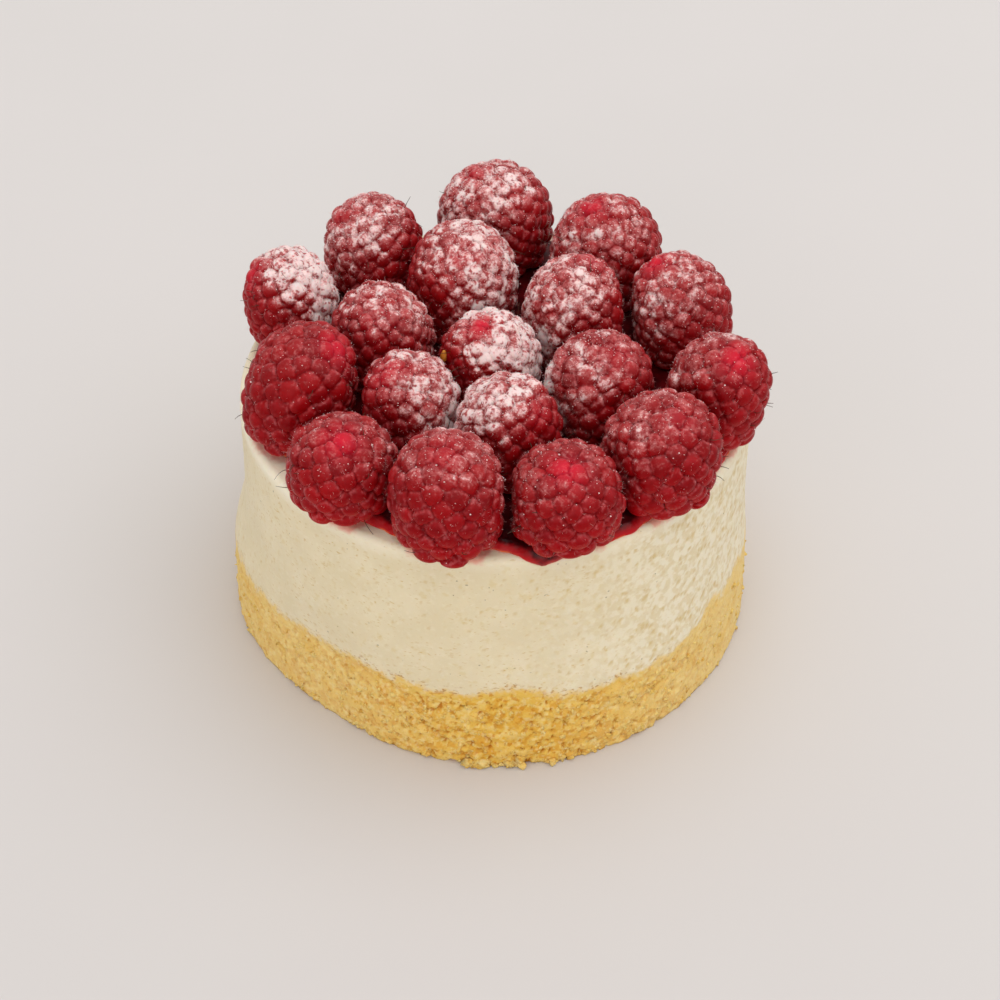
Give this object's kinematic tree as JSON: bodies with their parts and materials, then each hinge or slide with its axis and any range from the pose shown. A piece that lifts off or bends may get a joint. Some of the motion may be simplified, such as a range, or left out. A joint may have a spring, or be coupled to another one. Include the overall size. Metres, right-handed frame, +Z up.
{
  "type": "raspberry cheesecake",
  "caption": "Small round cheesecake: crumb base, set cream and a thin layer of jam, topped with upright whole raspberries dusted with sugar.",
  "frame": {"origin": "middle of the crumb base's flat underside, on the surface that the cake stands on", "axes": "+Z up through the middle of the cake, +X to the right and -Y towards the side shown at the front of the picture"},
  "size_m": [0.0846, 0.0859, 0.064],
  "materials": {
    "crumb": "rough, golden baked biscuit crumb",
    "cream": "soft satin set cream with fine pores",
    "jam": "wet, glossy, deep red jam",
    "raspberry": "moist red fruit with a dusting of white sugar"
  },
  "bodies": {
    "root": {"crumb_base": "crumb", "cream_layer": "cream", "jam_layer": "jam", "raspberry_01": "raspberry", "raspberry_02": "raspberry", "raspberry_03": "raspberry", "raspberry_04": "raspberry", "raspberry_05": "raspberry", "raspberry_06": "raspberry", "raspberry_07": "raspberry", "raspberry_08": "raspberry", "raspberry_09": "raspberry", "raspberry_10": "raspberry", "raspberry_11": "raspberry", "raspberry_12": "raspberry", "raspberry_13": "raspberry", "raspberry_14": "raspberry", "raspberry_15": "raspberry", "raspberry_16": "raspberry", "raspberry_17": "raspberry", "raspberry_18": "raspberry"}
  },
  "joints": []
}
